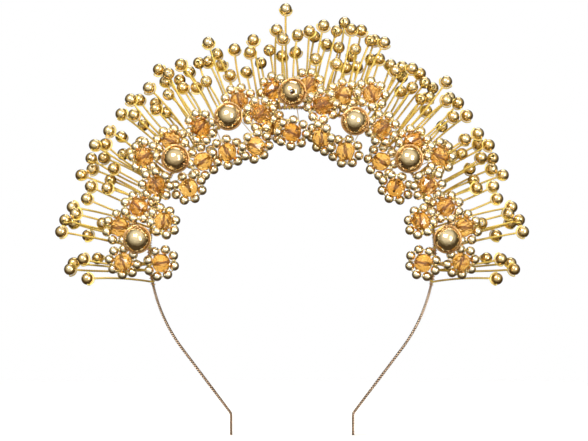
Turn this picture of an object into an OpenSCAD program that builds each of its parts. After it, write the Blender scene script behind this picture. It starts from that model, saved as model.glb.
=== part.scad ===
/* [Headband] */
// Radius of the arch's centre line, which is also the radius of the head opening
arch_r = 60; // [59:0.5:61]
// Width of the steel strip, front to back
band_w = 5; // [4.5:0.1:5]
// Thickness of the steel strip
band_t = 1; // [0.8:0.1:1]
// Radius of the flatter arc that each leg follows below the arch
leg_arc_r = 69; // [67:1:72]
// Angle at which the leg's arc ends, counted from the horizontal
leg_arc_deg = 37; // [34:1:40]
// Length of the leg's straight stretch
leg_straight = 34; // [30:1:38]
// Length of the upright tip at the foot of a leg
tip_len = 9; // [8:0.5:12]
// Angle below the horizontal at which the free leg starts to bend
flex_deg = 13; // [12.5:0.5:14]

/* [Beads] */
// Diameter of a big bead
big_d = 10; // [9.5:0.1:10]
// Bore of a big bead
big_bore = 1.9; // [1.7:0.1:2]
// Diameter of a petal bead
petal_d = 4; // [3.8:0.1:4]
// Bore of a petal bead
petal_bore = 0.9; // [0.9:0.05:1]
// Diameter of a spray bead
spray_d = 5; // [4.8:0.1:5]
// Bore of a spray bead
spray_bore = 1.2; // [1.1:0.05:1.3]
// Crystal bead, across its flats
crystal_w = 7.6; // [7.2:0.1:7.6]
// Bore of a crystal bead
crystal_bore = 1; // [0.9:0.05:1.1]

/* [Flowers] */
// Radius of the wire ring that carries the petal beads
ring_r = 6.15; // [6.1:0.05:6.2]
// Petal beads round each crystal
petals = 8; // [8:1:8]

/* [Wire] */
// Wire that strings the flowers
fine_d = 0.4; // [0.35:0.05:0.4]
// Twisted pair that makes a spray's stem
stem_d = 0.7; // [0.6:0.05:0.7]
// Single wire that passes through a spray bead
loop_d = 0.5; // [0.4:0.05:0.5]
// Wire that holds a big bead
post_d = 0.8; // [0.7:0.05:0.8]
// Copper-coloured wire of the coiled collar
coil_d = 0.9; // [0.8:0.05:0.9]

/* [Hidden] */
GROUPS = ["big_bead", "collar", "petal_beads", "crystals", "flower_wires", "spray_wires",
    "spray_beads", "binding_wire"];
$fn = 48;

gold = "#d9b860";
deep_gold = "#b98a3e";
amber = "#c8801e";
steel = "#b7906b";

flex_gap = 0.1;     // between the arch's end and the leg that bends from it
wrap_gap = 0.05;    // between a wire wrap and the strip inside it
wrap_d = 0.45;      // thickness of a wire wrap
tie_w = 0.6;        // width of the wrap that ties a flower
bundle_w = 0.9;     // width of the wrap that ties a bundle of stems
bind_w = 0.5;       // width of one turn of the binding wire
nest_r = 5.9;       // radius of the collar's nest, from the big bead's centre
nest_at = [44, 53.5, 63, 72.5];  // where the collar's coils lie on the nest, from its back
big_y = -17;        // depth of the big beads; the front is towards -Y
spray_back = 0.5;    // depth of the front row of spray beads
spray_step = 5.3;   // depth from one row of spray beads to the next
loop_r = spray_d / 2 + loop_d / 2 + 0.15;  // radius of the wire that hugs a spray bead
root_lean = 1.03;   // a stem's root is this many times as far round the band as its bead
bows = [0, 1.2, -1.2, 0.6, -0.8];  // how far stems bow to the side
wrap_y = band_w / 2 + wrap_gap + wrap_d / 2;  // depth of a wrap's front bar, behind 0

// Clusters, from the left leg over the top: [angle from the top, radius] of each big bead.
clusters = [[-86, 65], [-52, 62], [-25.5, 62], [0, 66], [26, 60], [52, 62], [86, 65]];

// Aim of each big bead's bore: [angle from the top, turn towards the viewer].
bore_aims = [[4, 0], [120, 35], [65, 0], [0, 90], [-65, 0], [-120, 35], [-4, 0]];

// Flowers of clusters 1 to 5; 7 and 6 mirror 1 and 2. Each is
// [across, up from the big bead, depth, tilt away from the bead, turn, angle of its tie, through].
flowers = [
    [[-7.5, 5, -6.5, 25, 5, -82], [-6, -9.5, -8.5, 30, 25, -94], [10, -10, -8, 25, 30, -96],
     [11, 7.5, -13.5, 35, 20, -78], [0.5, 13.5, -9, 30, 25, -74]],
    [[-8, -11, -13, 25, 35, -64], [5.5, -12, -8, 30, 5, -60, 1], [-13, 1, -8.5, 30, 5, -56],
     [-2, 7.5, -4.5, 30, 20, -48], [11.5, -1, -4.5, 25, 15, -44]],
    [[-11.5, -4.5, -9.5, 30, 0, -36], [4.5, 6.5, -7, 20, 25, -20], [13.5, 1, -11.5, 15, 20, -14],
     [11.5, -12.5, -13, 35, 0, -22], [-0.5, -15, -9, 25, 5, -32]],
    [[-8, 1, -5.5, 35, 15, -6], [7, 3, -5, 30, 5, 6], [12.5, -5.5, -10, 5, 30, 10],
     [0, -17, -12, 25, 40, 2], [-8, -14, -4, 30, 0, -10]],
    [[-5, 11, -4.5, 25, 25, 18], [7, 11.5, -8, 30, 30, 28], [11.5, -3, -9.5, 20, 30, 36],
     [-4, -12.5, -7, 30, 0, 30], [-14, -7, -11, 50, 25, 14]]
];

// Spray beads of clusters 1 to 6; 7 mirrors 1. Each is
// [angle from the top, radius, turn of its bore]. A bead's depth comes from its place in the list.
sprays = [
    [[-98, 87, 20], [-95, 94, 0], [-93.5, 92.5, 40], [-92.5, 88, 10], [-92.5, 82, 60],
     [-86, 86.5, 20], [-85.5, 97.5, 10], [-82.5, 96.5, 70], [-83, 93, 30], [-82, 80.5, 90],
     [-80.5, 92.5, 20], [-79, 94.5, 0], [-76, 89, 30], [-72.5, 89, 10], [-70.5, 94.5, 40],
     [-71.5, 82, 20], [-69, 82, 80], [-68, 91, 0]],
    [[-65.5, 82.5, 20], [-65.5, 93, 60], [-64, 88.5, 0], [-62, 94, 30], [-60.5, 90.5, 10],
     [-60.5, 82, 90], [-59, 79, 20], [-57, 92, 0], [-56.5, 86.5, 40], [-54.5, 78, 80],
     [-51.5, 92, 20], [-50, 82, 90], [-49.5, 87.5, 10], [-47, 93, 0], [-45.5, 90.5, 30],
     [-44, 82.5, 20], [-42.5, 78.5, 60], [-43, 84.5, 10], [-41.5, 91, 0]],
    [[-38.5, 83.5, 80], [-36.5, 94.5, 0], [-37, 89, 30], [-35, 90.5, 90], [-34, 82.5, 20],
     [-33.5, 86, 70], [-31, 91, 10], [-30.5, 79.5, 0], [-30, 87, 40], [-27, 79.5, 90],
     [-26.5, 88, 80], [-24, 87, 0], [-22, 94, 20], [-21, 88.5, 40], [-21, 83.5, 10], [-19.5, 78, 0],
     [-16, 88, 20], [-14.5, 77.5, 30]],
    [[-12, 85, 20], [-10.5, 90, 0], [-9.5, 80, 90], [-6.5, 84.5, 80], [-4, 93, 10], [-3, 82, 30],
     [-2.5, 89, 0], [-1.5, 101.5, 20], [1, 83.5, 10], [1.5, 90.5, 40], [4.5, 92.5, 0],
     [6, 90.5, 80], [7, 81, 20], [8, 95.5, 0], [9.5, 88, 30], [11.5, 94, 70]],
    [[13.5, 80.5, 20], [13, 87.5, 90], [13, 98.5, 70], [15, 96, 0], [16.5, 80, 10],
     [17, 85.5, 80], [17.5, 88.5, 90], [17.5, 97, 0], [19.5, 82, 20], [20.5, 94, 80],
     [21.5, 95, 10], [22.5, 87, 30], [24, 95.5, 0], [24.5, 88.5, 20], [28, 88.5, 10], [30, 87, 0],
     [31, 90, 40], [32.5, 86.5, 90], [33.5, 91.5, 0], [34.5, 81, 20], [36, 92, 10], [36.5, 85, 40],
     [38.5, 90, 80]],
    [[40.5, 83.5, 80], [42, 86.5, 10], [41, 90.5, 90], [42.5, 96, 0], [44, 81.5, 20],
     [46, 92.5, 40], [46, 90.5, 0], [48.5, 93.5, 30], [50.5, 82, 90], [50.5, 88, 10],
     [52.5, 93, 0], [55.5, 78, 80], [57.5, 86.5, 20], [58, 92.5, 0], [59.5, 79, 30], [60.5, 82, 90],
     [62, 94, 0], [60.5, 90.5, 10], [64, 88.5, 20], [65.5, 93, 60], [65.5, 82.5, 20]]
];

function unit(v) = v / norm(v);
function polar(a, r, y) = [r * sin(a), y, r * cos(a)];
// A line square to v, for placing something round about v
function across(v) = unit(cross(abs(v.y) < 0.9 ? [0, 1, 0] : [1, 0, 0], v));

// A point on the strip's centre line: the arch down to the horizontal, then the leg's arc
function on_band(a) = abs(a) <= 90
    ? polar(a, arch_r, 0)
    : sign(a) * [arch_r - leg_arc_r, 0, 0] + polar(a, leg_arc_r, 0);

// Clusters past the fifth mirror one on the left
function twin_of(n) = n > 5 ? 8 - n : n;
function big_at(c) = polar(clusters[c - 1][0], clusters[c - 1][1], big_y);
function bore_of(c) =
    let (aim = bore_aims[c - 1]) cos(aim[1]) * polar(aim[0], 1, 0) + [0, -sin(aim[1]), 0];

// A flower's frame: its centre, the direction away from the big bead, the one square to it, the face
function flower_at(c, f) = [big_at(c).x + f[0], f[2], big_at(c).z + f[1]];
function flower_out(f) = cos(f[3]) * unit([f[0], 0, f[1]]) + [0, sin(f[3]), 0];
function flower_face(f) = sin(f[3]) * unit([f[0], 0, f[1]]) + [0, -cos(f[3]), 0];
function flower_side(f) = cross(flower_face(f), flower_out(f));
function in_flower(c, f, a, r, h = 0) = flower_at(c, f)
    + r * cos(a) * flower_out(f) + r * sin(a) * flower_side(f) + h * flower_face(f);
// The wire ring bends inside each bead, so the bead sits half of that bend further in
petal_r = (ring_r + sqrt(ring_r * ring_r - petal_d * petal_d / 4)) / 2;
petal_gap = 180 / petals;
// A tie starts in the gap between two petal beads that looks most directly at its wrap
function tie_foot(f) = on_band(f[5]) - [0, wrap_y, 0];
function tie_gap(c, f) = let (
    to = tie_foot(f) - flower_at(c, f),
    a = atan2(to * flower_side(f), to * flower_out(f))
) f[4] + petal_gap + 2 * petal_gap * round((a - f[4] - petal_gap) / (2 * petal_gap));

// A spray's depth goes row by row, and its stem is an arc from the band to its bead
function spray_y(i) = spray_back + spray_step * (i % 3);
function spray_at(s, i) = polar(s[0], s[1], spray_y(i));
// Stems share roots on the odd degrees of the band, and lean a little more than their roots do
function root_of(s) = 2 * round((root_lean * s[0] - 1) / 2) + 1;
function root_at(s, i) = on_band(root_of(s))
    + polar(root_of(s), band_t / 2 + wrap_gap + wrap_d / 2, 1 + 0.8 * (i % 3));
// A stem bows by its bead's radius, which is in half millimetres
function bow_of(s) = bows[round(2 * s[1]) % len(bows)];
function arc_radius(chord, bow) = chord * chord / 8 / abs(bow) + abs(bow) / 2;
function arc_half(chord, bow) = bow == 0 ? 0 : sign(bow) * asin(chord / 2 / arc_radius(chord, bow));
// The side to which stems bow, square to the stem and to the depth
function bow_side(u) = unit(cross(u, [0, 1, 0]));
function stem_end(s, i) = let (
    to = spray_at(s, i) - root_at(s, i),
    u = unit(to),
    half = arc_half(norm(to), bow_of(s))
) cos(half) * u - sin(half) * bow_side(u);
function spray_bore_of(s, i) = let (
    u = stem_end(s, i),
    v = bow_side(u)
) cos(s[2]) * v + sin(s[2]) * cross(u, v);

// Puts its children's x, y and z along x, y and their cross product, at o
module place(o, x, y) {
    z = cross(x, y);
    multmatrix([[x.x, y.x, z.x, o.x], [x.y, y.y, z.y, o.y], [x.z, y.z, z.z, o.z], [0, 0, 0, 1]])
        children();
}

// Stands its children's z along v, at o
module stand(o, v) place(o, across(v), cross(v, across(v))) children();

module rod(a, b, d) stand(a, unit(b - a)) cylinder(d = d, h = norm(b - a));

module wire_ring(r, d) rotate_extrude() translate([r, 0]) circle(d = d);

module wire_arc(r, d, from, to)
    rotate([0, 0, from]) rotate_extrude(angle = to - from) translate([r, 0]) circle(d = d);

// An arc of wire from a towards b that bows to the side and ends short of b
module bent_rod(a, b, d, bow, short) {
    u = unit(b - a);
    side = sign(bow) * bow_side(u);
    chord = norm(b - a);
    if (bow == 0) rod(a, b - short * u, d);
    else {
        r = arc_radius(chord, bow);
        half = asin(chord / 2 / r);
        place((a + b) / 2 - (r - abs(bow)) * side, side, u)
            wire_arc(r, d, -half, half - short / r * 180 / PI);
    }
}

module bead(d, bore) difference() {
    sphere(d = d);
    cylinder(d = bore, h = d + 1, center = true);
}

// A bead's wire: straight through the bore and back round one half of the bead, on the side of -y
module bead_wire(r, d) {
    rotate([0, 90, 0]) cylinder(d = d, h = 2 * r, center = true);
    for (s = [-1, 1]) translate([s * r, 0, 0]) sphere(d = d + 0.1);
    wire_arc(r, d, 180, 360);
}

// One turn of wire about the strip
module wrap(a, w) place(on_band(a), polar(a + 90, 1, 0), [0, 1, 0]) difference() {
    cube([w, 2 * wrap_y + wrap_d, band_t + 2 * (wrap_gap + wrap_d)], center = true);
    cube([w + 1, band_w + 2 * wrap_gap, band_t + 2 * wrap_gap], center = true);
}

// A point of the strip's outline, off the centre line by so much
function edge(a, off) = [on_band(a).x, on_band(a).z] + off * [sin(a), cos(a)];
// Degrees from the top at which the fixed part ends and the free part's bend has its axis
arch_end = 90 + flex_deg;
leg_start = arch_end + (flex_gap + band_t / 2) / leg_arc_r * 180 / PI;
leg_end = 90 + leg_arc_deg;

// The strip stands on its outline, which is drawn across and up
module strip(outline) rotate([90, 0, 0]) linear_extrude(band_w, center = true) polygon(outline);

module headband_arch() color(steel) strip(concat(
    [for (i = [-60 : 60]) edge(arch_end * i / 60, band_t / 2)],
    [for (i = [60 : -1 : -60]) edge(arch_end * i / 60, -band_t / 2)]));

// The free part of the band's right-hand leg; its upper end is rounded about the axis it bends on
module leg() {
    down = [sin(180 + leg_arc_deg), cos(180 + leg_arc_deg)];
    out = [-down.y, down.x];
    knee = edge(leg_end, 0) + leg_straight * down;
    mitre = band_t / 2 * (out + [1, 0]) / (1 + out.x);
    turn = leg_end - leg_start;
    strip(concat(
        [for (i = [0 : 16]) edge(leg_start + turn * i / 16, band_t / 2)],
        [knee + mitre, knee + [band_t / 2, -tip_len], knee + [-band_t / 2, -tip_len], knee - mitre],
        [for (i = [16 : -1 : 0]) edge(leg_start + turn * i / 16, -band_t / 2)],
        [for (a = [180 : -15 : 0]) edge(leg_start, 0)
            + 0.45 * band_t * [sin(leg_start - 90 + 90 - a), cos(leg_start - 90 + 90 - a)]]));
}

module left_leg() color(steel) mirror([1, 0, 0]) leg();

module right_leg() color(steel) leg();

module mirrored(n) {
    if (n > 5) mirror([1, 0, 0]) children();
    else children();
}

module big_bead(c) color(gold) stand(big_at(c), bore_of(c)) bead(big_d, big_bore);

// The coiled collar behind a big bead, with the wire that carries the bead and a stay to the band
module collar(c) color(deep_gold) {
    at = big_at(c);
    bore = bore_of(c);
    back = [0, nest_r, 0];
    for (a = nest_at) place(at + [0, nest_r * cos(a), 0], [1, 0, 0], [0, 0, 1])
        wire_ring(nest_r * sin(a), coil_d);
    if (abs(bore.y) > 0.99) {
        rod(at - [0, big_d / 4, 0], at + back, post_d);
        place(at, [1, 0, 0], [0, -1, 0]) wire_arc(nest_r, post_d, 180, 360);
    } else {
        toward = unit(cross(cross(bore, [0, -1, 0]), bore));
        place(at, bore, toward) bead_wire(nest_r, post_d);
    }
    tie = 2 * round(clusters[c - 1][0] / 2);
    rod(at + back, on_band(tie) - [0, wrap_y, 0], post_d);
    wrap(tie, tie_w);
}

module petal_beads(n) color(gold) mirrored(n) for (f = flowers[twin_of(n) - 1])
    for (k = [0 : petals - 1]) {
        a = f[4] + 2 * petal_gap * k;
        stand(in_flower(twin_of(n), f, a, petal_r), cross(flower_face(f), in_flower(twin_of(n), f, a, 1)
            - flower_at(twin_of(n), f))) bead(petal_d, petal_bore);
    }

// A bead ground with eight flats about each of three axes, each set a hair deeper than the last
module crystal() intersection_for(cut = [[[0, 0, 0], 1], [[90, 0, 0], 0.98], [[0, 90, 0], 0.96]])
    rotate(cut[0]) rotate([0, 0, 22.5])
        cylinder(d = crystal_w * cut[1] / cos(22.5), h = 2 * crystal_w, center = true, $fn = 8);

module crystals(n) color(amber) mirrored(n) for (f = flowers[twin_of(n) - 1])
    place(flower_at(twin_of(n), f), flower_out(f), flower_side(f)) rotate([0, 0, f[4]]) difference() {
        crystal();
        rotate(f[6] == 1 ? [0, 0, 0] : [0, 90, petal_gap])
            cylinder(d = crystal_bore, h = 2 * crystal_w, center = true);
    }

// The wire of one flower: its ring, the wire through its crystal, and the tie to the band.
// The wires that branch from the ring are a little thinner, pulled taut.
module flower_wire(c, f) union() {
    taut_d = fine_d - 0.06;
    place(flower_at(c, f), flower_out(f), flower_side(f)) rotate([0, 0, f[4]]) {
        wire_ring(ring_r, fine_d);
        rotate([0, 0, petal_gap]) if (f[6] == 1) {
            back = crystal_w / 2 + 0.8;
            for (s = [-1, 1]) {
                rod([s * ring_r, 0, 0], [s * ring_r, 0, -back], taut_d);
                translate([s * ring_r, 0, -back]) sphere(d = fine_d);
            }
            rod([-ring_r, 0, -back], [ring_r, 0, -back], taut_d);
            rod([0, 0, -back], [0, 0, crystal_w / 4], taut_d - 0.04);
        } else rod([-ring_r, 0, 0], [ring_r, 0, 0], taut_d);
    }
    rod(in_flower(c, f, tie_gap(c, f), ring_r), tie_foot(f), taut_d);
    wrap(f[5], tie_w);
}

module flower_wires(n) color(gold) mirrored(n)
    for (f = flowers[twin_of(n) - 1]) flower_wire(twin_of(n), f);

// A cluster's spray beads; the last cluster mirrors the first
function sprays_of(n) = sprays[n > 6 ? 0 : n - 1];
module spray_side(n) mirror([n > 6 ? 1 : 0, 0, 0]) children();

module spray_beads(n) color(gold) spray_side(n) for (i = [0 : len(sprays_of(n)) - 1])
    stand(spray_at(sprays_of(n)[i], i), spray_bore_of(sprays_of(n)[i], i)) bead(spray_d, spray_bore);

module stem(s, i) union() {
    place(spray_at(s, i), spray_bore_of(s, i), stem_end(s, i)) bead_wire(loop_r, loop_d);
    bent_rod(root_at(s, i), spray_at(s, i), stem_d, bow_of(s), loop_r);
}

// Stems with the same root are one bundle, tied to the strip by one wrap
module spray_wires(n) color(gold) for (a = [-103 : 2 : 103]) {
    bundle = [for (i = [0 : len(sprays_of(n)) - 1]) if (root_of(sprays_of(n)[i]) == a) i];
    if (len(bundle) > 0) union() {
        spray_side(n) wrap(a, bundle_w);
        for (i = bundle) spray_side(n) stem(sprays_of(n)[i], i);
    }
}

// Degrees of the band that a cluster covers, and the ones that no tie or root takes
spans = [[-102, -70], [-69, -41], [-40, -13], [-12, 12], [13, 39], [40, 69], [70, 102]];
function taken(a, n) = let (c = twin_of(n), s = n > 5 ? -1 : 1)
    a == 2 * round(clusters[n - 1][0] / 2)
    || len([for (f = flowers[c - 1]) if (s * f[5] == a) 1]) > 0
    || len([for (m = [1 : 7], p = sprays[m > 6 ? 0 : m - 1]) if ((m > 6 ? -1 : 1) * root_of(p) == a) 1]) > 0;

module binding_wire(n) color(deep_gold)
    for (a = [spans[n - 1][0] : spans[n - 1][1]]) if (!taken(a, n)) wrap(a, bind_w);

headband_arch();
left_leg();
right_leg();
for (n = [1 : 7]) {
    big_bead(n);
    collar(n);
    petal_beads(n);
    crystals(n);
    flower_wires(n);
    spray_wires(n);
    spray_beads(n);
    binding_wire(n);
}
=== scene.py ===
"""The looks of a beaded crown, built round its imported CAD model.

Lengths are millimetres until a mesh is made."""

import math

import bpy
import numpy as np
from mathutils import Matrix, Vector


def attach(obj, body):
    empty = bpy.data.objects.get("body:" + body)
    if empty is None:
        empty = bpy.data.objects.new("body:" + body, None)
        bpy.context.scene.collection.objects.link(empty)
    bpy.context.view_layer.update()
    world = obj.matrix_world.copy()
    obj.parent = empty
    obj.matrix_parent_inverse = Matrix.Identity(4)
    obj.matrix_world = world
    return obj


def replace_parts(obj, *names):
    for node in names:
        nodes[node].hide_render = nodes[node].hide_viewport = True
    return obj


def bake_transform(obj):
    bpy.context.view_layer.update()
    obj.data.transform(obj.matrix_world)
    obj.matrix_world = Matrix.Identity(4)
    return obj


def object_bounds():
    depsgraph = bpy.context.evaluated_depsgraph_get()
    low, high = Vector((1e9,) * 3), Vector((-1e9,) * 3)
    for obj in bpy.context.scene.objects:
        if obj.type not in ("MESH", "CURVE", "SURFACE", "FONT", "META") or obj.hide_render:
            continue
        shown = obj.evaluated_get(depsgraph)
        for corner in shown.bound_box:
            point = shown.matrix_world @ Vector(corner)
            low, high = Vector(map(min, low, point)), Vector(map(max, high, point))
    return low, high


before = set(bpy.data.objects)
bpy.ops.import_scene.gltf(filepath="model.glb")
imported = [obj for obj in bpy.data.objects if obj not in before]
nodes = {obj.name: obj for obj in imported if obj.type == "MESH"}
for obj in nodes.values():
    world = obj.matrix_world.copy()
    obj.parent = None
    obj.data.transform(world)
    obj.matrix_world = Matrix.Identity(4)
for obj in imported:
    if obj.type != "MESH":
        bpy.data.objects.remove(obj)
cad_box = [list(v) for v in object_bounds()]
dice = np.random.default_rng(11)

# Sizes that the CAD part has
ARCH_R, LEG_R, LEG_DEG, LEG_STRAIGHT, KNEE_R, TIP = 60.0, 69.0, 37.0, 34.0, 2.5, 9.0
BAND_W, BAND_T, RIB_PITCH = 5.0, 1.0, 1.1
HINGE_DEG = 103.5
WRAP_D, WRAP_Y, WRAP_R = 0.45, 2.775, 0.775
BIG_R, PETAL_R, SPRAY_R = 5.0, 2.0, 2.5
RING_R, LOOP_R, NEST_R = 6.15, 2.9, 5.9
FINE_D, STEM_D, LOOP_D, POST_D, COIL_D = 0.4, 1.0, 0.6, 0.8, 0.9
Y = np.array([0.0, 1.0, 0.0])


# ---------------------------------------------------------------- vectors

def unit(v):
    v = np.asarray(v, float)
    return v / np.linalg.norm(v, axis=-1, keepdims=True)


def polar(a, r, y=0.0):
    return np.array([r * math.sin(math.radians(a)), y, r * math.cos(math.radians(a))])


def on_band(a):
    """A point on the strip's centre line, a degrees from the top."""
    if abs(a) <= 90:
        return polar(a, ARCH_R)
    return np.array([math.copysign(1, a) * (ARCH_R - LEG_R), 0, 0]) + polar(a, LEG_R)


def swing(c, u, v, r, start, end, n):
    """n points of an arc about c, from start to end degrees, counted from u towards v."""
    t = np.radians(np.linspace(start, end, n))[:, None]
    return c + r * (np.cos(t) * u + np.sin(t) * v)


# ---------------------------------------------------------------- reading the frame

def islands(name):
    """Every loose part of a CAD node, as its triangles' corners in millimetres."""
    me = nodes[name].data
    co = np.empty(len(me.vertices) * 3)
    me.vertices.foreach_get("co", co)
    me.calc_loop_triangles()
    tri = np.empty(len(me.loop_triangles) * 3, np.int32)
    me.loop_triangles.foreach_get("vertices", tri)
    points, place = np.unique(np.round(co.reshape(-1, 3) * 1000, 3), axis=0, return_inverse=True)
    tri = place.ravel()[tri].reshape(-1, 3)
    label = np.arange(len(points))
    while True:
        new = label.copy()
        np.minimum.at(new, tri.ravel(), np.repeat(label[tri].min(1), 3))
        new = new[new]
        if (new == label).all():
            break
        label = new
    owner = label[tri[:, 0]]
    return [points[tri[owner == k]] for k in np.unique(owner)]


def bead_of(part):
    """The centre and the bore's direction of a bead, from its triangles."""
    v = part.reshape(-1, 3)
    fit = np.linalg.lstsq(np.c_[2 * v, np.ones(len(v))], (v * v).sum(1), rcond=None)[0]
    centre = fit[:3]
    reach = np.linalg.norm(v - centre, axis=1).max()
    return centre, bore_dir(part, centre, 0.8 * reach)


def bore_dir(part, centre, reach):
    n = np.cross(part[:, 1] - part[:, 0], part[:, 2] - part[:, 0])
    wall = np.linalg.norm(part.mean(1) - centre, axis=1) < reach
    n = n[wall]
    size = np.linalg.norm(n, axis=1, keepdims=True)
    n = n[size[:, 0] > 1e-9] / size[size[:, 0] > 1e-9] ** 0.5
    return np.linalg.eigh(n.T @ n)[1][:, 0]


def crystal_of(part):
    n = np.cross(part[:, 1] - part[:, 0], part[:, 2] - part[:, 0])
    share = np.einsum("ij,ij->i", part[:, 0], np.cross(part[:, 1], part[:, 2]))
    centre = (part.sum(1) * share[:, None]).sum(0) / 4 / share.sum()
    return centre, bore_dir(part, centre, 3.2)


def wrapped_at(part):
    """The degrees of the strip at which this part has a wrap round it."""
    v = part.reshape(-1, 3)
    low = v[:, 2] < 0
    shift = np.where(low, np.sign(v[:, 0]) * (ARCH_R - LEG_R), 0)
    a = np.degrees(np.arctan2(v[:, 0] - shift, v[:, 2]))
    r = np.hypot(v[:, 0] - shift, v[:, 2]) - np.where(low, LEG_R, ARCH_R)
    near = (np.abs(r) < 1.01) & (np.abs(v[:, 1]) < 3.02) & (np.abs(v[:, 1]) > 2.5)
    return sorted(set(np.round(a[near]).astype(int)))


# ---------------------------------------------------------------- meshes

class Heap:
    """Collects the surfaces of one piece, then makes the piece."""

    def __init__(self):
        self.v, self.loops, self.sizes, self.mat, self.smooth = [], [], [], [], []
        self.marks = {"tone": [], "rim": [], "along": [], "round": []}
        self.n = 0

    def add(self, v, faces, mat=0, smooth=True, **marks):
        faces = np.asarray(faces, np.int32)
        self.v.append(v)
        self.loops.append((faces + self.n).ravel())
        self.sizes.append(np.full(len(faces), faces.shape[1], np.int32))
        self.mat.append(np.broadcast_to(np.asarray(mat, np.int32), len(faces)))
        self.smooth.append(np.full(len(faces), smooth))
        for k, kept in self.marks.items():
            kept.append(np.broadcast_to(np.asarray(marks.get(k, 0.0), float), len(v)))
        self.n += len(v)

    def make(self, name, materials):
        me = bpy.data.meshes.new(name)
        v = np.concatenate(self.v) * 0.001
        loops, sizes = np.concatenate(self.loops), np.concatenate(self.sizes)
        me.vertices.add(len(v))
        me.loops.add(len(loops))
        me.polygons.add(len(sizes))
        me.vertices.foreach_set("co", v.astype(np.float32).ravel())
        me.loops.foreach_set("vertex_index", loops)
        me.polygons.foreach_set("loop_start", np.r_[0, np.cumsum(sizes)[:-1]].astype(np.int32))
        me.update(calc_edges=True)
        me.polygons.foreach_set("material_index", np.concatenate(self.mat).astype(np.int32))
        me.polygons.foreach_set("use_smooth", np.concatenate(self.smooth))
        for k, kept in self.marks.items():
            mark = me.attributes.new(k, "FLOAT", "POINT")
            mark.data.foreach_set("value", np.concatenate(kept).astype(np.float32))
        for m in materials:
            me.materials.append(m)
        me.validate()
        me.update()
        o = bpy.data.objects.new(name, me)
        bpy.context.scene.collection.objects.link(o)
        return o


def grid(rows, cols, wrap_rows, wrap_cols):
    """Quads of a rows by cols grid of points, closed on itself where asked."""
    down, over = np.arange(rows - (not wrap_rows)), np.arange(cols - (not wrap_cols))
    i, j = np.meshgrid(down, over, indexing="ij")
    i, j = i.ravel(), j.ravel()
    k, m = (i + 1) % rows, (j + 1) % cols
    return np.stack([i * cols + j, i * cols + m, k * cols + m, k * cols + j], 1)


def tube(heap, path, r, up, sides=8, closed=False, mat=0, tone=0.0):
    """A round wire along path. up is never parallel to it. Open ends are rounded over."""
    path = np.asarray(path, float)
    radius = np.full(len(path), float(r))
    if closed:
        t = unit(np.roll(path, -1, 0) - np.roll(path, 1, 0))
    else:
        t = unit(np.gradient(path, axis=0))
        first = [path[0] - t[0] * r * 0.8, path[0] - t[0] * r * 0.5]
        last = [path[-1] + t[-1] * r * 0.5, path[-1] + t[-1] * r * 0.8]
        path = np.concatenate([first, path, last])
        radius = np.concatenate([[0.02 * r, 0.75 * r], radius, [0.75 * r, 0.02 * r]])
        t = np.concatenate([t[:1], t[:1], t, t[-1:], t[-1:]])
    up = np.broadcast_to(np.asarray(up, float), path.shape) if np.ndim(up) == 1 else up
    if len(up) != len(path):
        up = np.concatenate([up[:1], up[:1], up, up[-1:], up[-1:]])
    u = unit(up - (up * t).sum(1, keepdims=True) * t)
    w = np.cross(t, u)
    a = np.arange(sides) * 2 * math.pi / sides
    ring = np.cos(a)[None, :, None] * u[:, None] + np.sin(a)[None, :, None] * w[:, None]
    v = path[:, None] + radius[:, None, None] * ring
    steps = np.linalg.norm(np.diff(path, axis=0), axis=1)
    along = np.repeat(np.r_[0, np.cumsum(steps)], sides)
    heap.add(v.reshape(-1, 3), grid(len(path), sides, closed, True), mat, True, tone=tone, along=along,
             round=np.tile(a, len(path)))


def twist(heap, path, d, up, pitch, sides=6, tone=0.0, phase=0.0):
    """Two strands twisted about path, d across together."""
    path = np.asarray(path, float)
    steps = np.linalg.norm(np.diff(path, axis=0), axis=1)
    s = np.r_[0, np.cumsum(steps)]
    n = max(12, int(s[-1] / pitch * 9))
    even = np.linspace(0, s[-1], n)
    mid = np.stack([np.interp(even, s, path[:, k]) for k in range(3)], 1)
    t = unit(np.gradient(mid, axis=0))
    u = unit(up - (up * t).sum(1, keepdims=True) * t)
    w = np.cross(t, u)
    turn = 2 * math.pi * even / pitch + phase
    for half in (0, math.pi):
        off = d / 4 * (np.cos(turn + half)[:, None] * u + np.sin(turn + half)[:, None] * w)
        tube(heap, mid + off, d / 4 * 1.04, np.broadcast_to(up, mid.shape), sides, tone=tone)


def bead(heap, c, axis, r, bore, rim, around=28, rings=17, tone=0.0):
    """A bead with a bore and a rounded rim, as one closed turned profile."""
    high = math.sqrt((r - rim) ** 2 - (bore + rim) ** 2)
    lat = math.atan2(high, bore + rim)
    ball = np.linspace(-lat, lat, rings)
    turn = np.linspace(lat, math.pi, 6)[1:]
    lip = bore + rim + rim * np.cos(turn)
    rho = np.concatenate([r * np.cos(ball), lip, lip[::-1]])
    z = np.concatenate([r * np.sin(ball), high + rim * np.sin(turn), -high - rim * np.sin(turn[::-1])])
    mark = np.concatenate([np.zeros(rings), np.linspace(0.4, 1, 5), np.linspace(1, 0.4, 5)])
    mark[0] = mark[rings - 1] = 0.2
    u = unit(np.cross(axis, [0.3, 0.9, 0.2] if abs(axis[1]) < 0.9 else [1, 0, 0]))
    w = np.cross(axis, u)
    a = np.arange(around) * 2 * math.pi / around
    ring = np.cos(a)[:, None] * u + np.sin(a)[:, None] * w
    v = c + rho[:, None, None] * ring[None] + z[:, None, None] * axis
    faces = grid(len(rho), around, True, True)
    wall = faces[:, 0] // around
    # The bore's wall takes the second material, which carries painted shade
    heap.add(v.reshape(-1, 3), faces, np.where(wall == rings + 4, 1, 0), True, tone=tone,
             rim=np.repeat(mark, around))


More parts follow.
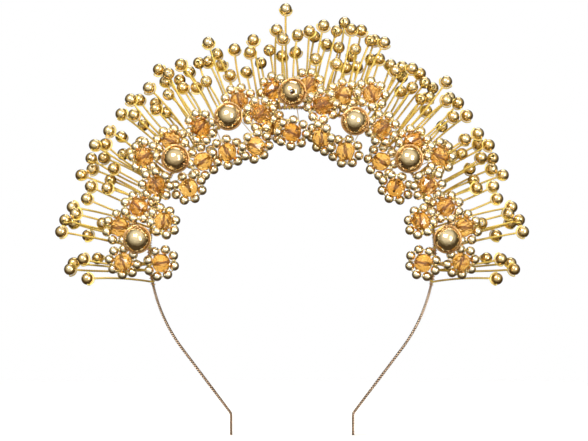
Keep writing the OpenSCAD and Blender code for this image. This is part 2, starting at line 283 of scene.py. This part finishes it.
def crystal(heap, c, axis, zero, tone):
    """A faceted bead: staggered rings of eight corners about its bore."""
    w = np.cross(axis, zero)
    rows = [(0.5, 3.6, 0), (1.57, 3.52, 0), (3.18, 2.67, 22.5), (4.2, 0.0, 0)]
    rows += [(a, -b, g) for a, b, g in rows[2::-1]]
    v = []
    for rho, z, g in rows:
        a = np.radians(g + 45 * np.arange(8))[:, None]
        v.append(c + rho * (np.cos(a) * zero + np.sin(a) * w) + z * axis)
    v = np.concatenate(v)
    flat, walls, tris = [], [], []
    for k in range(7):
        for i in range(8):
            j, a, b = (i + 1) % 8, k * 8, (k + 1) % 7 * 8
            if k in (0, 5):
                flat.append([a + i, b + i, b + j, a + j])
            elif k == 6:
                walls.append([a + i, b + i, b + j, a + j])
            elif k in (1, 3):
                tris += [[a + i, b + i, a + j], [b + i, b + j, a + j]]
            else:
                tris += [[a + i, b + j, a + (i + 1) % 8], [a + i, b + i, b + j]]
    at = heap.n
    # The bore's wall takes the second material, which carries painted shade
    for faces, mat in ((flat, 0), (tris, 0), (walls, 1)):
        faces = np.asarray(faces, np.int32)
        if heap.n == at:
            heap.add(v, faces, mat, False, tone=tone)
        else:
            heap.loops.append((faces + at).ravel())
            heap.sizes.append(np.full(len(faces), faces.shape[1], np.int32))
            heap.mat.append(np.full(len(faces), mat, np.int32))
            heap.smooth.append(np.full(len(faces), False))


def wrap(heap, a, turns, d=WRAP_D, lean=0.25, tone=0.0):
    """Turns of wire laid round the strip at a degrees, close together."""
    c, out, along = on_band(a), unit(polar(a, 1.0)), unit(polar(a + 90, 1.0))
    x, y = WRAP_R - 0.01, WRAP_Y
    k = 0.42
    corner = np.radians(np.linspace(0, 90, 5))
    pts = []
    for sx, sy, flip in ((1, 1, 0), (-1, 1, 1), (-1, -1, 0), (1, -1, 1)):
        q = [(x - k + k * math.cos(t), y - k + k * math.sin(t)) for t in (corner[::-1] if flip else corner)]
        pts += [(sx * p, sy * r) for p, r in q]
    pts = np.array(pts)
    for i in range(turns):
        shift = (i - (turns - 1) / 2) * d * 0.98
        slant = lean * d * np.sign(pts[:, 0])
        path = c + pts[:, :1] * out + pts[:, 1:] * Y + (shift + slant * 0.5)[:, None] * along
        tube(heap, path, d / 2 * 0.98, along, 7, closed=True, tone=tone)


def loop(heap, c, b, t, r, d, bend, tone=0.0):
    """One wire through a bead's bore and back round the side that t points away from."""
    start = math.degrees(math.asin(bend / r))
    path = [swing(c, b, -t, r, start, 180 - start, 25)]
    inner = r * math.cos(math.radians(start)) - bend
    path.append(swing(c - inner * b - bend * t, -b, t, bend, 0, 90, 6)[1:])
    path.append(c + np.linspace(-inner, inner, 9)[1:-1, None] * b)
    path.append(swing(c + inner * b - bend * t, t, b, bend, 0, 90, 6)[:-1])
    tube(heap, np.concatenate(path), d / 2, np.cross(b, t), 8, closed=True, tone=tone)


# ---------------------------------------------------------------- materials

class Paint:
    """A Principled material, and short ways to wire patterns into it."""

    def __init__(self, name, **fixed):
        self.m = bpy.data.materials.new(name)
        self.m.use_nodes = True
        self.t = self.m.node_tree
        self.s = self.t.nodes["Principled BSDF"]
        for k, v in fixed.items():
            self.s.inputs[k.replace("_", " ")].default_value = v
        self.where = self.t.nodes.new("ShaderNodeTexCoord").outputs["Object"]

    def node(self, kind, **inputs):
        n = self.t.nodes.new("ShaderNode" + kind)
        for k, v in inputs.items():
            self.link(v, n.inputs[k.replace("_", " ")])
        return n

    def link(self, v, socket):
        if isinstance(v, bpy.types.NodeSocket):
            self.t.links.new(v, socket)
        else:
            socket.default_value = v

    def noise(self, scale, detail=3.0, rough=0.5, where=None):
        n = self.node("TexNoise", Vector=where or self.where, Scale=scale, Detail=detail, Roughness=rough)
        return n.outputs["Fac"]

    def mark(self, name):
        n = self.t.nodes.new("ShaderNodeAttribute")
        n.attribute_name = name
        return n.outputs["Fac"]

    def math(self, kind, a, b=0.0, c=0.0):
        n = self.t.nodes.new("ShaderNodeMath")
        n.operation = kind
        for v, socket in zip((a, b, c), n.inputs):
            self.link(v, socket)
        return n.outputs[0]

    def span(self, v, a, b, c, d):
        n = self.node("MapRange", Value=v)
        for k, x in zip(("From Min", "From Max", "To Min", "To Max"), (a, b, c, d)):
            n.inputs[k].default_value = x
        return n.outputs[0]

    def mix(self, f, a, b):
        n = self.t.nodes.new("ShaderNodeMix")
        n.data_type = "RGBA"
        self.link(f, n.inputs["Factor"])
        for v, socket in ((a, n.inputs[6]), (b, n.inputs[7])):
            self.link((*v, 1) if isinstance(v, tuple) and len(v) == 3 else v, socket)
        return n.outputs[2]

    def bump(self, height, depth, strength=1.0, after=None):
        n = self.node("Bump", Height=height, Strength=strength, Distance=depth)
        if after is not None:
            self.link(after, n.inputs["Normal"])
        return n.outputs["Normal"]

    def set(self, **sockets):
        for k, v in sockets.items():
            self.link(v, self.s.inputs[k.replace("_", " ")])
        return self.m


def plated(name, light, deep, brown, rough, dents):
    """Vacuum-plated gold: each bead a shade of its own, cloudy where fingers go, thin and brown at the bore."""
    p = Paint(name, Metallic=1.0)
    cloud = p.noise(260, 4, 0.6)
    fine = p.noise(2600, 3, 0.6)
    shade = p.math("ADD", p.math("MULTIPLY", cloud, 0.45), p.math("MULTIPLY", p.mark("tone"), 0.75))
    base = p.mix(p.span(shade, 0.15, 0.95, 0, 1), light, deep)
    worn = p.math("MULTIPLY", p.mark("rim"), p.span(fine, 0.25, 0.7, 0.5, 1.0))
    base = p.mix(p.span(worn, 0.1, 0.95, 0, 0.85), base, brown)
    gloss = p.math("ADD", p.span(cloud, 0.3, 0.75, rough, rough + 0.1), p.math("MULTIPLY", worn, 0.25))
    scuff = p.span(p.noise(5200, 2, 0.7), 0.66, 0.74, 0, 0.12)
    pits = p.bump(p.noise(900, 2, 0.5), 0.00004 * dents)
    pits = p.bump(fine, 0.00001, 1.0, pits)
    return p.set(Base_Color=base, Roughness=p.math("ADD", gloss, scuff), Normal=pits)


def shaded_bore(name, colour):
    """The inside of a bead's bore: unplated and dull, darkened with painted shade."""
    p = Paint(name, Metallic=0.4)
    n = p.noise(1800, 4, 0.6)
    return p.set(Base_Color=p.mix(n, colour, tuple(c * 0.4 for c in colour)),
                 Roughness=p.span(n, 0.2, 0.8, 0.45, 0.8), Normal=p.bump(n, 0.00003))


def wire(name, light, deep, rough, draw=1.0):
    """Drawn wire: lengthwise die lines, tarnish in patches, small nicks where it was bent."""
    p = Paint(name, Metallic=1.0)
    place = p.node("CombineXYZ", X=p.math("MULTIPLY", p.mark("along"), 0.05),
                   Y=p.math("MULTIPLY", p.mark("round"), 1.0), Z=p.mark("tone")).outputs[0]
    lines = p.noise(5, 3, 0.7, place)
    patches = p.noise(170, 4, 0.65)
    shade = p.math("ADD", p.math("MULTIPLY", patches, 0.8), p.math("MULTIPLY", p.mark("tone"), 0.35))
    base = p.mix(p.span(shade, 0.3, 0.85, 0, 1), light, deep)
    base = p.mix(p.span(lines, 0.45, 0.8, 0, 0.35), base, deep)
    nicks = p.noise(1900, 3, 0.7)
    normal = p.bump(lines, 0.00002 * draw)
    normal = p.bump(nicks, 0.00002, 0.7, normal)
    return p.set(Base_Color=base, Roughness=p.span(nicks, 0.3, 0.75, rough, rough + 0.16), Normal=normal)


def glass(name):
    """Pressed honey glass: a shade of its own in each bead, denser streaks inside, fire-polished facets."""
    p = Paint(name, Transmission_Weight=0.92, IOR=1.56, Coat_Weight=0.6, Coat_Roughness=0.04)
    streak = p.noise(330, 3, 0.6)
    shade = p.math("ADD", p.math("MULTIPLY", streak, 0.5), p.math("MULTIPLY", p.mark("tone"), 0.7))
    base = p.mix(p.span(shade, 0.15, 1.0, 0, 1), (0.98, 0.58, 0.14), (0.82, 0.36, 0.04))
    return p.set(Base_Color=base, Roughness=p.span(p.noise(1500, 2, 0.5), 0.35, 0.7, 0.01, 0.06),
                 Normal=p.bump(p.noise(700, 2, 0.5), 0.00003))


def strip_metal(name):
    """The band: rolled strip with slanting ribs on its edges, painted shade in the ribs' grooves, coppery,
    browner towards the tips.
    """
    p = Paint(name, Metallic=1.0)
    along, edge, low = p.mark("along"), p.mark("rim"), p.mark("tone")
    cloud = p.noise(120, 4, 0.6)
    slant = p.math("ADD", along, p.math("MULTIPLY", p.mark("round"), 1.0))
    rib = p.math("SINE", p.math("MULTIPLY", slant, 2 * math.pi / RIB_PITCH))
    rib = p.math("MULTIPLY", rib, edge)
    base = p.mix(p.span(cloud, 0.3, 0.75, 0, 1), (0.96, 0.78, 0.61), (0.85, 0.62, 0.44))
    brown = p.math("ADD", low, p.math("MULTIPLY", cloud, 0.3))
    base = p.mix(p.span(brown, 0.5, 1.2, 0, 0.7), base, (0.42, 0.27, 0.17))
    # Painted shade: the rib grooves darkened nearly to black
    base = p.mix(p.span(rib, -0.6, 0.3, 0.9, 0), base, (0.12, 0.07, 0.05))
    rolled = p.node("CombineXYZ", X=p.math("MULTIPLY", along, 0.012),
                    Y=p.math("MULTIPLY", p.mark("round"), 0.6)).outputs[0]
    brush = p.noise(30, 3, 0.7, rolled)
    normal = p.bump(rib, 0.00012)
    normal = p.bump(brush, 0.00002, 0.8, normal)
    return p.set(Base_Color=base, Roughness=p.span(cloud, 0.3, 0.8, 0.22, 0.4), Normal=normal)


GOLD = plated("gold_plate", (0.97, 0.82, 0.50), (0.84, 0.62, 0.28), (0.16, 0.09, 0.03), 0.12, 1.0)
BIG = plated("big_bead_plate", (1.0, 0.86, 0.56), (0.93, 0.72, 0.41), (0.17, 0.09, 0.03), 0.07, 3.2)
PETAL = plated("petal_plate", (1.0, 0.94, 0.74), (0.95, 0.83, 0.56), (0.22, 0.12, 0.05), 0.14, 1.2)
# Painted shade in the bores: near-black in the gold beads, dark amber in the crystals
BEAD_BORE_SHADE = shaded_bore("bead_bore_shade", (0.05, 0.026, 0.01))
CRYSTAL_BORE_SHADE = shaded_bore("crystal_bore", (0.30, 0.12, 0.02))
GLASS = glass("honey_glass")
WIRE = wire("gold_wire_metal", (1.0, 0.83, 0.27), (0.74, 0.54, 0.11), 0.3)
COPPER = wire("copper_wire_metal", (0.89, 0.60, 0.30), (0.60, 0.34, 0.14), 0.2)
BAND = strip_metal("band_metal")


def finish_piece(heap, name, materials, body, slot, *replaced):
    o = heap.make(name, materials)
    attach(o, body)
    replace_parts(o, *replaced)
    return o


# ---------------------------------------------------------------- beads and crystals

big, spray, flowers = {}, {}, {}
for n in range(1, 8):
    c, axis = bead_of(islands(f"big_bead_{n}")[0])
    big[n] = (c, axis)
    heap = Heap()
    bead(heap, c, axis, BIG_R, 0.95, 0.35, 64, 41, tone=dice.random())
    finish_piece(heap, f"big_gold_bead_{n}", [BIG, BEAD_BORE_SHADE], f"big_bead_{n}", "gold_bead", f"big_bead_{n}")

    spray[n] = [bead_of(p) for p in islands(f"spray_beads_{n}")]
    heap = Heap()
    for c, axis in spray[n]:
        bead(heap, c, axis, SPRAY_R, 0.6, 0.28, 34, 21, tone=dice.random())
    finish_piece(heap, f"spray_gold_beads_{n}", [GOLD, BEAD_BORE_SHADE], "crown", "gold_bead", f"spray_beads_{n}")

    petals = [bead_of(p) for p in islands(f"petal_beads_{n}")]
    heap = Heap()
    for c, axis in petals:
        bead(heap, c, axis, PETAL_R, 0.45, 0.2, 28, 17, tone=dice.random())
    finish_piece(heap, f"petal_gold_beads_{n}", [PETAL, BEAD_BORE_SHADE], "crown", "petal_bead", f"petal_beads_{n}")

    at = np.array([c for c, _ in petals])
    heap, flowers[n] = Heap(), []
    for part in islands(f"crystals_{n}"):
        c, axis = crystal_of(part)
        ring = at[np.argsort(np.abs(np.linalg.norm(at - c, axis=1) - 5.983))[:8]]
        c = ring.mean(0)
        face = np.linalg.svd(ring - c)[2][2]
        first = unit(ring[0] - c)
        if abs(axis @ face) > 0.7:
            axis = face
            zero = math.cos(math.pi / 8) * first + math.sin(math.pi / 8) * np.cross(face, first)
        else:
            axis = unit(axis - (axis @ face) * face)
            zero = np.cross(face, axis)
        crystal(heap, c, axis, zero, dice.random())
        flowers[n].append((c, face, first, axis))
    finish_piece(heap, f"amber_crystals_{n}", [GLASS, CRYSTAL_BORE_SHADE], "crown", "crystal", f"crystals_{n}")

# ---------------------------------------------------------------- stems

BOWS = [0, 1.2, -1.2, 0.6, -0.8]


def stem(heap, c, bore, flip, tone):
    """The stem of one spray bead: a twisted pair that bows up from its root, and the bead's own wire."""
    m = np.array([-1.0 if flip else 1.0, 1, 1])
    c, bore = c * m, bore * m
    angle = round(2 * math.degrees(math.atan2(c[0], c[2]))) / 2
    radius = round(2 * math.hypot(c[0], c[2])) / 2
    row = round((c[1] - 0.5) / 5.3)
    root = 2 * math.floor((1.03 * angle - 1) / 2 + 0.5) + 1
    foot = on_band(root) + polar(root, WRAP_R, 1 + 0.8 * row)
    bow = BOWS[int(2 * radius) % 5]
    u = unit(c - foot)
    side = unit(np.cross(u, Y))
    chord = np.linalg.norm(c - foot)
    if bow:
        r = chord * chord / 8 / abs(bow) + abs(bow) / 2
        half = math.degrees(math.asin(chord / 2 / r))
        s = math.copysign(1, bow)
        path = swing((foot + c) / 2 - (r - abs(bow)) * s * side, s * side, u, r, -half,
                     half - math.degrees((LOOP_R - 0.1) / r), 40)
        end = math.cos(math.radians(half)) * u - s * math.sin(math.radians(half)) * side
    else:
        path = foot + np.linspace(0, 1 - (LOOP_R - 0.1) / chord, 40)[:, None] * (c - foot)
        end = u
    bore = unit(bore - (bore @ end) * end)
    twist(heap, path * m, STEM_D, np.cross(u, side) * m, 1.7 + 0.5 * dice.random(), tone=tone,
          phase=6 * dice.random())
    loop(heap, c * m, bore * m, end * m, LOOP_R, LOOP_D * 0.9, 0.45, tone)
    return root * int(m[0])


for n in range(1, 8):
    heap = Heap()
    found = set()
    for c, bore in spray[n]:
        found.add(stem(heap, c, bore, n == 7, dice.random()))
    for a in sorted(found):
        wrap(heap, a, 2, 0.44, 0.3, dice.random())
    finish_piece(heap, f"twisted_stems_{n}", [WIRE], "crown", "gold_wire", f"spray_wires_{n}")

# ---------------------------------------------------------------- flower wires

for n in range(1, 8):
    heap = Heap()
    for part in islands(f"flower_wires_{n}"):
        tone = dice.random()
        mids = part.mean(1)
        off_ring = lambda f: np.median(np.abs(np.linalg.norm(mids - f[0], axis=1) - RING_R))
        c, face, first, axis = min(flowers[n], key=off_ring)
        second = np.cross(face, first)
        ring = swing(c, first, second, RING_R, 0, 360, 73)[:-1]
        tube(heap, ring, FINE_D / 2, face, 8, closed=True, tone=tone)
        gap = lambda k: (math.cos(math.radians(22.5 + 45 * k)) * first
                         + math.sin(math.radians(22.5 + 45 * k)) * second)
        if abs(axis @ face) > 0.7:
            b, back = gap(0), 4.6
            behind = -face if face[1] < 0 else face
            path = [c + RING_R * b, c + RING_R * b + (back - 0.9) * behind]
            path += list(swing(c + (RING_R - 0.9) * b + (back - 0.9) * behind, b, behind, 0.9, 0, 90, 6)[1:])
            path += list(swing(c - (RING_R - 0.9) * b + (back - 0.9) * behind, behind, -b, 0.9, 0, 90, 6))
            path += [c - RING_R * b]
            tube(heap, path, FINE_D * 0.42, np.cross(b, face), 8, tone=tone)
            tube(heap, [c + back * behind, c - 1.9 * behind], FINE_D * 0.42, b, 8, tone=tone)
        else:
            tube(heap, [c - RING_R * axis, c, c + RING_R * axis], FINE_D * 0.42, face, 8, tone=tone)
        for a in wrapped_at(part):
            foot = on_band(a) - WRAP_Y * Y
            start = max((gap(k) for k in range(8)), key=lambda g: g @ (foot - c))
            start = c + RING_R * start
            twist(heap, [start, foot], FINE_D * 0.95, unit(np.cross(foot - start, [0.2, 0.3, 1])), 1.3, 6, tone)
            wrap(heap, a, 1, 0.45, 0.5, tone)
    finish_piece(heap, f"flower_rings_{n}", [WIRE], "crown", "gold_wire", f"flower_wires_{n}")

# ---------------------------------------------------------------- collars and binding

for n in range(1, 8):
    c, bore = big[n]
    heap = Heap()
    part = np.concatenate(islands(f"collar_{n}"))
    a = wrapped_at(part)[0]
    foot = on_band(a) - WRAP_Y * Y
    back = c + NEST_R * Y
    straight = back + np.linspace(1, 0, 12)[:, None] * (foot - back)
    spin = np.radians(np.linspace(0, 360 * 4.3, 240))
    lat = np.radians(np.interp(np.degrees(spin), [0, 170, 360 * 4.3], [2, 42, 77]))
    rho, dep = NEST_R * np.sin(lat), NEST_R * np.cos(lat)
    coil = c + np.stack([rho * np.cos(spin), dep, rho * np.sin(spin)], 1)
    up = unit(coil - c)
    tube(heap, coil, COIL_D / 2 * 0.98, up, 12, tone=dice.random())
    tube(heap, straight, POST_D / 2, unit(np.cross(foot - back, [0.4, 0.1, 1])), 10, tone=dice.random())
    if abs(bore[1]) > 0.99:
        tube(heap, [back, c + 3 * Y, c, c - 2.4 * Y], POST_D / 2, [1, 0, 0], 10)
        tube(heap, swing(c, np.array([1.0, 0, 0]), Y, NEST_R, 0, 180, 31), POST_D / 2, [0, 0, 1], 10)
    else:
        toward = unit(np.cross(np.cross(bore, -Y), bore))
        loop(heap, c, bore, toward, NEST_R, POST_D, 0.8, dice.random())
    wrap(heap, a, 1, 0.45, 0.5, dice.random())
    finish_piece(heap, f"coiled_collar_{n}", [COPPER], "crown", "copper_wire", f"collar_{n}")

    heap = Heap()
    for part in islands(f"binding_wire_{n}"):
        for a in sorted({round(x) for x in wrapped_at(part)}):
            wrap(heap, a, 1, 0.45, 0.9, dice.random())
    finish_piece(heap, f"binding_turns_{n}", [COPPER], "crown", "copper_wire", f"binding_wire_{n}")

# ---------------------------------------------------------------- the band


def half_band(side):
    """Half of the band, from the top to one tip, as one strip with rounded edges and a bend above the tip."""
    m = np.array([side, 1.0, 1.0])
    path = [polar(a, ARCH_R) for a in np.linspace(0, 90, 230)]
    path += [on_band(a) for a in np.linspace(90, 90 + LEG_DEG, 130)[1:]]
    down = unit(polar(180 + LEG_DEG, 1.0))
    knee = path[-1] + LEG_STRAIGHT * down
    cut = KNEE_R * math.tan(math.radians(LEG_DEG / 2))
    path += [path[-1] + x * down for x in np.linspace(0, LEG_STRAIGHT - cut, 70)[1:]]
    right = np.array([-down[2], 0, down[0]])
    right = right * (1 if right[0] < 0 else -1)
    hub = knee - cut * down - KNEE_R * right
    path += list(swing(hub, right, down, KNEE_R, 0, LEG_DEG, 9)[1:])
    low = knee - np.array([0, 0, cut])
    path += [low - np.array([0, 0, x]) for x in np.linspace(0, TIP - cut, 20)[1:]]
    path = np.array(path)
    t = unit(np.gradient(path, axis=0))
    out = np.cross(t, Y)
    out = out * np.sign((out[0] @ path[0]))
    half_w, half_t, k = BAND_W / 2, BAND_T / 2, 0.3
    sec, mark = [], []
    for sx, sy in ((1, 1), (-1, 1), (-1, -1), (1, -1)):
        q = np.radians(np.linspace(0, 90, 5))
        q = q if sx == sy else q[::-1]
        sec += [(sx * (half_t - k + k * math.cos(x)), sy * (half_w - k + k * math.sin(x))) for x in q]
        mark += [0.3 + 0.7 * math.sin(x) for x in q]
    sec = np.array(sec)
    v = path[:, None] + sec[None, :, :1] * out[:, None] + sec[None, :, 1:] * Y
    s = np.r_[0, np.cumsum(np.linalg.norm(np.diff(path, axis=0), axis=1))]
    rows, cols = len(path), len(sec)
    low = np.clip((s - 90) / 100, 0, 1)
    heap = Heap()
    v = (v * m).reshape(-1, 3)
    heap.add(v, grid(rows, cols, False, True), along=np.repeat(s, cols), round=np.tile(sec[:, 0], rows),
             rim=np.tile(mark, rows), tone=np.repeat(low, cols))
    for at in (0, rows - 1):
        heap.loops.append(np.arange(cols, dtype=np.int32) + at * cols)
        heap.sizes.append(np.array([cols], np.int32))
        heap.mat.append(np.array([0], np.int32))
        heap.smooth.append(np.array([False]))
    o = heap.make("band_left" if side < 0 else "band_right", [BAND])
    t = unit(polar(90 + HINGE_DEG, 1.0)) * m
    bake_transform(o)
    return o


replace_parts(half_band(-1), "left_leg", "headband_arch")
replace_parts(half_band(1), "right_leg")

# ---------------------------------------------------------------- camera, floor and light

scene = bpy.context.scene
cam = bpy.data.objects.new("camera", bpy.data.cameras.new("camera"))
scene.collection.objects.link(cam)
scene.camera = cam
AWAY, WIDE = 2.4, 0.2472
cam.data.sensor_width = 36
cam.data.lens = 36 * AWAY / WIDE
cam.location = (0.0008, -AWAY, 0.0124)
cam.rotation_euler = (math.pi / 2, 0, 0)
cam.data.clip_end = 20

# A round pale table top that fades into the pale studio round it
paper = Paint("pale_table", Roughness=0.75)
reach = paper.node("VectorMath", Vector=paper.where)
reach.operation = "LENGTH"
paper.set(Base_Color=paper.mix(paper.noise(6, 2), (0.93, 0.93, 0.92), (0.90, 0.90, 0.895)),
          Alpha=paper.span(reach.outputs["Value"], 0.30, 0.85, 1, 0))
FLOOR = cad_box[0][2] - 0.0001
round_table = bpy.data.meshes.new("table_top")
rim = np.linspace(0, 2 * math.pi, 97)[:-1]
round_table.from_pydata([(0.9 * math.cos(t), 0.9 * math.sin(t), 0) for t in rim], [], [list(range(len(rim)))])
round_table.materials.append(paper.m)
table = bpy.data.objects.new("table_top", round_table)
table.location = (0, 0, FLOOR)
scene.collection.objects.link(table)
table.visible_glossy = False


def lamp(name, at, aim, size, power, colour):
    light = bpy.data.lights.new(name, "AREA")
    light.shape, light.size, light.size_y = "RECTANGLE", *size
    light.energy, light.color = power, colour
    o = bpy.data.objects.new(name, light)
    o.location = at
    o.rotation_euler = (Vector(aim) - Vector(at)).to_track_quat("-Z", "Y").to_euler()
    scene.collection.objects.link(o)
    return o


lamp("key", (-0.45, -1.1, 0.9), (0, 0, 0.02), (0.7, 0.5), 16, (1.0, 0.98, 0.94))
lamp("fill", (0.75, -1.1, 0.25), (0, 0, 0), (0.3, 0.8), 7, (1.0, 0.97, 0.93))
lamp("back", (0.1, 0.5, 0.9), (0, 0, 0.03), (0.6, 0.2), 2, (1.0, 0.99, 0.97))
lamp("wash", (0, 0, 1.9), (0, 0, 0), (1.2, 1.2), 30, (1.0, 1.0, 1.0)).visible_glossy = False

# The studio round the table: bright towards the front and above, dark behind and below. The camera, and
# what is seen through glass, meet a plain white backdrop
world = bpy.data.worlds.new("studio")
scene.world = world
world.use_nodes = True
wt = world.node_tree


def world_node(kind, **inputs):
    n = wt.nodes.new("ShaderNode" + kind)
    for k, v in inputs.items():
        socket = n.inputs[int(k[1:])] if k[0] == "i" and k[1:].isdigit() else n.inputs[k.replace("_", " ")]
        if isinstance(v, bpy.types.NodeSocket):
            wt.links.new(v, socket)
        else:
            socket.default_value = v
    return n


looking = wt.nodes.new("ShaderNodeTexCoord").outputs["Generated"]
aim = world_node("VectorMath", i0=looking, i1=(0.0, -0.72, 0.52))
aim.operation = "DOT_PRODUCT"
height = world_node("MapRange", Value=aim.outputs["Value"], From_Min=-1.0, From_Max=1.0)
ramp = world_node("ValToRGB", Fac=height.outputs[0])
STUDIO = ((0.40, (0.07, 0.05, 0.028, 1)), (0.60, (0.33, 0.29, 0.22, 1)), (0.80, (0.82, 0.78, 0.70, 1)))
for at, colour in STUDIO:
    e = ramp.color_ramp.elements.new(at)
    e.color = colour
ramp.color_ramp.elements.remove(ramp.color_ramp.elements[0])
ramp.color_ramp.elements[-1].color = (0.95, 0.92, 0.86, 1)
seen = world_node("Mix")
seen.data_type = "RGBA"
rays = wt.nodes.new("ShaderNodeLightPath")
through = world_node("Math", i0=rays.outputs["Is Camera Ray"], i1=rays.outputs["Is Transmission Ray"])
through.operation = "MAXIMUM"
wt.links.new(through.outputs[0], seen.inputs["Factor"])
wt.links.new(ramp.outputs["Color"], seen.inputs[6])
seen.inputs[7].default_value = (1, 1, 1, 1)
wt.links.new(seen.outputs[2], wt.nodes["Background"].inputs["Color"])
wt.nodes["Background"].inputs["Strength"].default_value = 1.0
scene.view_settings.view_transform = "Standard"
